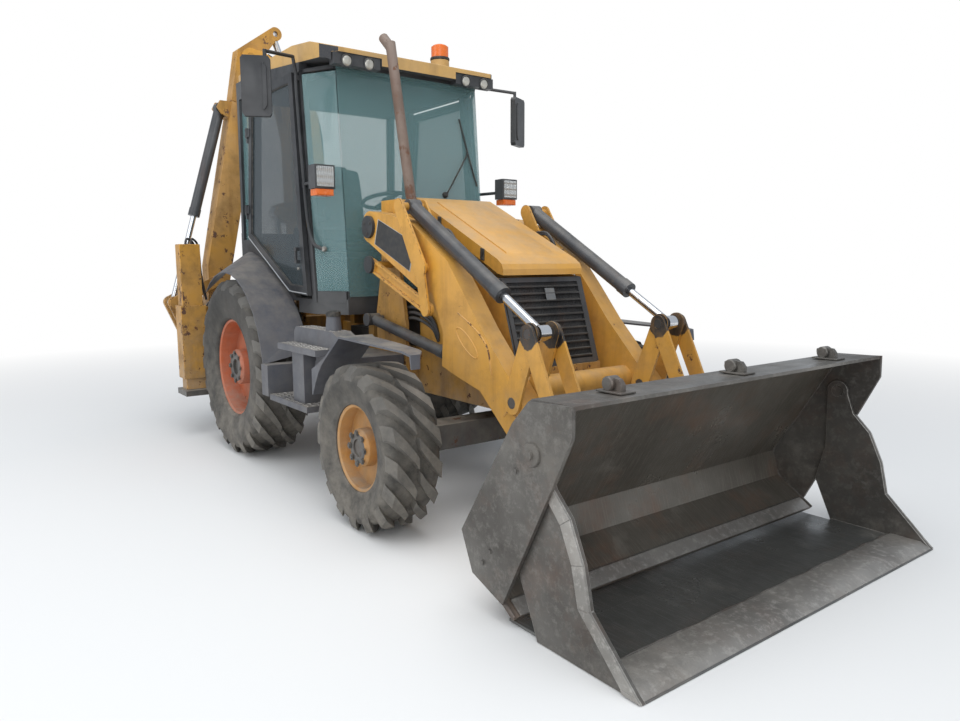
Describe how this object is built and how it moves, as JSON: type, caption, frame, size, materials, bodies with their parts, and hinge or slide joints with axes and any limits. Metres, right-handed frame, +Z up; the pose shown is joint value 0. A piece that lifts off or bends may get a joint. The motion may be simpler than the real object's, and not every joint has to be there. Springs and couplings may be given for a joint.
{
  "type": "backhoe loader",
  "caption": "Wheeled backhoe loader with a hinged front bucket, a cab, stabiliser legs and a folding rear digging arm.",
  "frame": {"origin": "on the ground under the middle of the machine's overall box", "axes": "+X forward along the machine, +Y to its left, +Z up"},
  "size_m": [5.913, 2.43, 3.7388],
  "materials": {
    "yellow_paint": "faded, chipped and dusty",
    "roof_paint": "faded satin",
    "dark_casting": "dusty",
    "black_mesh": "dusty black",
    "rusty_steel": "rusty",
    "dark_plastic": "worn and dusty",
    "black_paint": "satin",
    "tinted_glass": "clear",
    "seat_fabric": "woven",
    "cab_plastic": "satin",
    "lamp_glass": "clear",
    "tyre_rubber": "worn and dusty",
    "rim_yellow": "faded and dusty",
    "rim_red": "faded",
    "ram_paint": "satin",
    "chrome_rod": "polished",
    "pin_steel": "greasy",
    "bucket_steel": "scraped and rusty"
  },
  "bodies": {
    "machine": {"chassis": "yellow_paint", "drive_train": "dark_casting", "side_panels": "yellow_paint", "grille": "black_mesh", "exhaust": "rusty_steel", "tanks": "dark_plastic", "fenders": "dark_plastic", "cab_frame": "black_paint", "cab_roof": "roof_paint", "cab_glass": "tinted_glass", "seat": "seat_fabric", "steering_column": "cab_plastic", "mirrors": "dark_plastic", "lamps": "lamp_glass", "rear_frame": "yellow_paint"},
    "bonnet": {"bonnet": "yellow_paint"},
    "door_right": {"door_right": "black_paint", "door_right_glass": "tinted_glass"},
    "door_left": {"door_left": "black_paint", "door_left_glass": "tinted_glass"},
    "knuckle_right": {"knuckle_right": "dark_casting"},
    "knuckle_left": {"knuckle_left": "dark_casting"},
    "wheel_front_right": {"tyre_front_right": "tyre_rubber", "rim_front_right": "rim_yellow"},
    "wheel_front_left": {"tyre_front_left": "tyre_rubber", "rim_front_left": "rim_yellow"},
    "wheel_rear_right": {"tyre_rear_right": "tyre_rubber", "rim_rear_right": "rim_red"},
    "wheel_rear_left": {"tyre_rear_left": "tyre_rubber", "rim_rear_left": "rim_red"},
    "loader_arms": {"loader_arms": "yellow_paint"},
    "loader_posts": {"loader_posts": "yellow_paint"},
    "loader_links": {"loader_links": "yellow_paint"},
    "lift_barrels": {"lift_barrels": "ram_paint"},
    "lift_rods": {"lift_rods": "chrome_rod"},
    "tilt_barrels": {"tilt_barrels": "ram_paint"},
    "tilt_rods": {"tilt_rods": "chrome_rod"},
    "lever_pins": {"lever_pins": "pin_steel"},
    "tilt_levers": {"tilt_levers": "yellow_paint"},
    "link_pins": {"link_pins": "pin_steel"},
    "bucket_links": {"bucket_links": "yellow_paint"},
    "bucket_pins": {"bucket_pins": "pin_steel"},
    "mouldboard": {"mouldboard": "bucket_steel"},
    "clam": {"clam": "bucket_steel"},
    "leg_right": {"leg_right": "yellow_paint"},
    "leg_left": {"leg_left": "yellow_paint"},
    "carriage": {"carriage": "yellow_paint"},
    "kingpost": {"kingpost": "yellow_paint"},
    "boom": {"boom": "yellow_paint"},
    "boom_barrel": {"boom_barrel": "ram_paint"},
    "boom_rod": {"boom_rod": "chrome_rod"},
    "dipper": {"dipper": "yellow_paint"},
    "dipper_case": {"dipper_case": "yellow_paint"},
    "dipper_barrel": {"dipper_barrel": "ram_paint"},
    "dipper_rod": {"dipper_rod": "chrome_rod"},
    "bucket_barrel": {"bucket_barrel": "ram_paint"},
    "bucket_rod": {"bucket_rod": "chrome_rod"},
    "digging_lever": {"digging_lever": "yellow_paint"},
    "digging_link": {"digging_link": "yellow_paint"},
    "digging_bucket": {"digging_bucket": "bucket_steel"}
  },
  "joints": [
    {"name": "bonnet_hinge", "type": "hinge", "parent": "machine", "child": "bonnet", "pos_m": [0.1135, 0, 1.905], "axis": [0, -1, 0], "range_deg": [0, 50]},
    {"name": "door_right_hinge", "type": "hinge", "parent": "machine", "child": "door_right", "pos_m": [-1.6515, -0.79, 1.693], "axis": [-0.1263, 0, -0.992], "range_deg": [0, 85]},
    {"name": "door_left_hinge", "type": "hinge", "parent": "machine", "child": "door_left", "pos_m": [-1.6515, 0.79, 1.693], "axis": [0.1263, 0, 0.992], "range_deg": [0, 85]},
    {"name": "steer_right", "type": "hinge", "parent": "machine", "child": "knuckle_right", "pos_m": [0.8335, -0.79, 0.475], "axis": [0, 0, 1], "range_deg": [-38, 38]},
    {"name": "steer_left", "type": "hinge", "parent": "machine", "child": "knuckle_left", "pos_m": [0.8335, 0.79, 0.475], "axis": [0, 0, 1], "range_deg": [-38, 38]},
    {"name": "spin_front_right", "type": "hinge", "parent": "knuckle_right", "child": "wheel_front_right", "pos_m": [0.8335, -0.99, 0.475], "axis": [0, 1, 0], "continuous": true},
    {"name": "spin_front_left", "type": "hinge", "parent": "knuckle_left", "child": "wheel_front_left", "pos_m": [0.8335, 0.99, 0.475], "axis": [0, 1, 0], "continuous": true},
    {"name": "spin_rear_right", "type": "hinge", "parent": "machine", "child": "wheel_rear_right", "pos_m": [-1.3365, -0.89, 0.69], "axis": [0, 1, 0], "continuous": true},
    {"name": "spin_rear_left", "type": "hinge", "parent": "machine", "child": "wheel_rear_left", "pos_m": [-1.3365, 0.89, 0.69], "axis": [0, 1, 0], "continuous": true},
    {"name": "loader_lift", "type": "hinge", "parent": "machine", "child": "loader_arms", "pos_m": [0.0335, 0, 1.746], "axis": [0, -1, 0], "range_deg": [0, 85]},
    {"name": "post_level", "type": "hinge", "parent": "loader_arms", "child": "loader_posts", "pos_m": [0.7165, 0, 1.481], "axis": [0, -1, 0], "range_deg": [-86, 1]},
    {"name": "link_level", "type": "hinge", "parent": "machine", "child": "loader_links", "pos_m": [0.0885, 0, 1.496], "axis": [0, -1, 0], "range_deg": [-1, 86]},
    {"name": "lift_ram_swing", "type": "hinge", "parent": "machine", "child": "lift_barrels", "pos_m": [-0.0465, 0, 1.12], "axis": [0, -1, 0], "range_deg": [-1, 75]},
    {"name": "lift_ram_stroke", "type": "slide", "parent": "lift_barrels", "child": "lift_rods", "axis": [0.985, 0, -0.1726], "range_m": [-0.01, 0.83]},
    {"name": "tilt_ram_swing", "type": "hinge", "parent": "loader_posts", "child": "tilt_barrels", "pos_m": [0.4865, 0, 1.855], "axis": [0, -1, 0], "range_deg": [-1, 75]},
    {"name": "lever_level", "type": "hinge", "parent": "loader_arms", "child": "lever_pins", "pos_m": [1.5515, 0, 0.778], "axis": [0, -1, 0], "range_deg": [-75, 1]},
    {"name": "lever_tilt", "type": "hinge", "parent": "lever_pins", "child": "tilt_levers", "pos_m": [1.5515, 0, 0.778], "axis": [0, -1, 0], "range_deg": [-40, 40]},
    {"name": "link_joint_level", "type": "hinge", "parent": "tilt_levers", "child": "link_pins", "pos_m": [1.6945, 0, 1.153], "axis": [0, -1, 0], "range_deg": [-1, 75]},
    {"name": "link_joint_tilt", "type": "hinge", "parent": "link_pins", "child": "bucket_links", "pos_m": [1.6945, 0, 1.153], "axis": [0, -1, 0], "range_deg": [-40, 40]},
    {"name": "bucket_level", "type": "hinge", "parent": "loader_arms", "child": "bucket_pins", "pos_m": [1.8535, 0, 0.272], "axis": [0, -1, 0], "range_deg": [-95, 1]},
    {"name": "bucket_tilt", "type": "hinge", "parent": "bucket_pins", "child": "mouldboard", "pos_m": [1.8535, 0, 0.272], "axis": [0, -1, 0], "range_deg": [-43, 45]},
    {"name": "tilt_ram_stroke", "type": "slide", "parent": "tilt_barrels", "child": "tilt_rods", "axis": [0.8646, 0, -0.5024], "range_m": [-0.26, 0.24]},
    {"name": "clam_open", "type": "hinge", "parent": "mouldboard", "child": "clam", "pos_m": [2.4005, 0, 0.775], "axis": [0, -1, 0], "range_deg": [-8, 65]},
    {"name": "leg_right_down", "type": "slide", "parent": "machine", "child": "leg_right", "axis": [0, 0, -1], "range_m": [0, 0.5]},
    {"name": "leg_left_down", "type": "slide", "parent": "machine", "child": "leg_left", "axis": [0, 0, -1], "range_m": [0, 0.5]},
    {"name": "side_shift", "type": "slide", "parent": "machine", "child": "carriage", "axis": [0, 1, 0], "range_m": [-1.05, 0.08]},
    {"name": "slew", "type": "hinge", "parent": "carriage", "child": "kingpost", "pos_m": [-2.6965, 0.5, 0.8], "axis": [0, 0, -1], "range_deg": [0, 180]},
    {"name": "boom_lower", "type": "hinge", "parent": "kingpost", "child": "boom", "pos_m": [-2.6965, 0.14, 0.735], "axis": [1, 0, 0], "range_deg": [0, 130]},
    {"name": "boom_ram_swing", "type": "hinge", "parent": "kingpost", "child": "boom_barrel", "pos_m": [-2.6965, 0, 0.43], "axis": [1, 0, 0], "range_deg": [-1, 135]},
    {"name": "boom_ram_stroke", "type": "slide", "parent": "boom_barrel", "child": "boom_rod", "axis": [0, -0.0636, 0.998], "range_m": [-0.65, 0.01]},
    {"name": "dipper_open", "type": "hinge", "parent": "boom", "child": "dipper", "pos_m": [-2.6965, -0.33, 3.42], "axis": [-1, 0, 0], "range_deg": [0, 115]},
    {"name": "dipper_ram_swing", "type": "hinge", "parent": "boom", "child": "dipper_barrel", "pos_m": [-2.6965, 0.4, 2.4], "axis": [-1, 0, 0], "range_deg": [-17, 1]},
    {"name": "dipper_ram_stroke", "type": "slide", "parent": "dipper_barrel", "child": "dipper_rod", "axis": [0, -0.3452, 0.9385], "range_m": [-0.62, 0.01]},
    {"name": "dipper_extend", "type": "slide", "parent": "dipper", "child": "dipper_case", "axis": [0, -0.192, -0.9814], "range_m": [0, 1]},
    {"name": "bucket_curl", "type": "hinge", "parent": "dipper_case", "child": "digging_bucket", "pos_m": [-2.6965, -0.78, 1.12], "axis": [-1, 0, 0], "range_deg": [0, 122]},
    {"name": "digging_lever_swing", "type": "hinge", "parent": "dipper_case", "child": "digging_lever", "pos_m": [-2.6965, -0.728, 1.354], "axis": [-1, 0, 0], "range_deg": [-1, 142]},
    {"name": "digging_link_swing", "type": "hinge", "parent": "digging_lever", "child": "digging_link", "pos_m": [-2.6965, -1.133, 1.147], "axis": [-1, 0, 0], "range_deg": [-112, 1]},
    {"name": "bucket_ram_swing", "type": "hinge", "parent": "dipper_case", "child": "bucket_barrel", "pos_m": [-2.6965, -0.612, 2.937], "axis": [-1, 0, 0], "range_deg": [-2, 3]},
    {"name": "bucket_ram_stroke", "type": "slide", "parent": "bucket_barrel", "child": "bucket_rod", "axis": [0, -0.2795, -0.9602], "range_m": [-0.86, 0.01]}
  ],
  "couplings": [
    {"joint": "steer_left", "follows": "steer_right", "ratio": 1},
    {"joint": "post_level", "follows": "loader_lift", "ratio": -1},
    {"joint": "link_level", "follows": "loader_lift", "ratio": 1},
    {"joint": "lift_ram_swing", "follows": "loader_lift", "ratio": 0.8},
    {"joint": "lift_ram_stroke", "follows": "loader_lift", "m_per_rad": 0.53228},
    {"joint": "tilt_ram_swing", "follows": "loader_lift", "ratio": 0.79},
    {"joint": "lever_level", "follows": "loader_lift", "ratio": -0.795},
    {"joint": "link_joint_level", "follows": "loader_lift", "ratio": 0.731},
    {"joint": "bucket_level", "follows": "loader_lift", "ratio": -1.06},
    {"joint": "lever_tilt", "follows": "bucket_tilt", "ratio": 0.785},
    {"joint": "link_joint_tilt", "follows": "bucket_tilt", "ratio": -0.79},
    {"joint": "tilt_ram_stroke", "follows": "bucket_tilt", "m_per_rad": -0.27731},
    {"joint": "boom_ram_swing", "follows": "boom_lower", "ratio": 1},
    {"joint": "boom_ram_stroke", "follows": "boom_lower", "m_per_rad": -0.26986},
    {"joint": "dipper_ram_swing", "follows": "dipper_open", "ratio": -0.134},
    {"joint": "dipper_ram_stroke", "follows": "dipper_open", "m_per_rad": -0.26585},
    {"joint": "digging_lever_swing", "follows": "bucket_curl", "ratio": 0.815},
    {"joint": "digging_link_swing", "follows": "bucket_curl", "ratio": -0.567},
    {"joint": "bucket_ram_swing", "follows": "bucket_curl", "ratio": 0.01},
    {"joint": "bucket_ram_stroke", "follows": "bucket_curl", "m_per_rad": -0.33232}
  ]
}
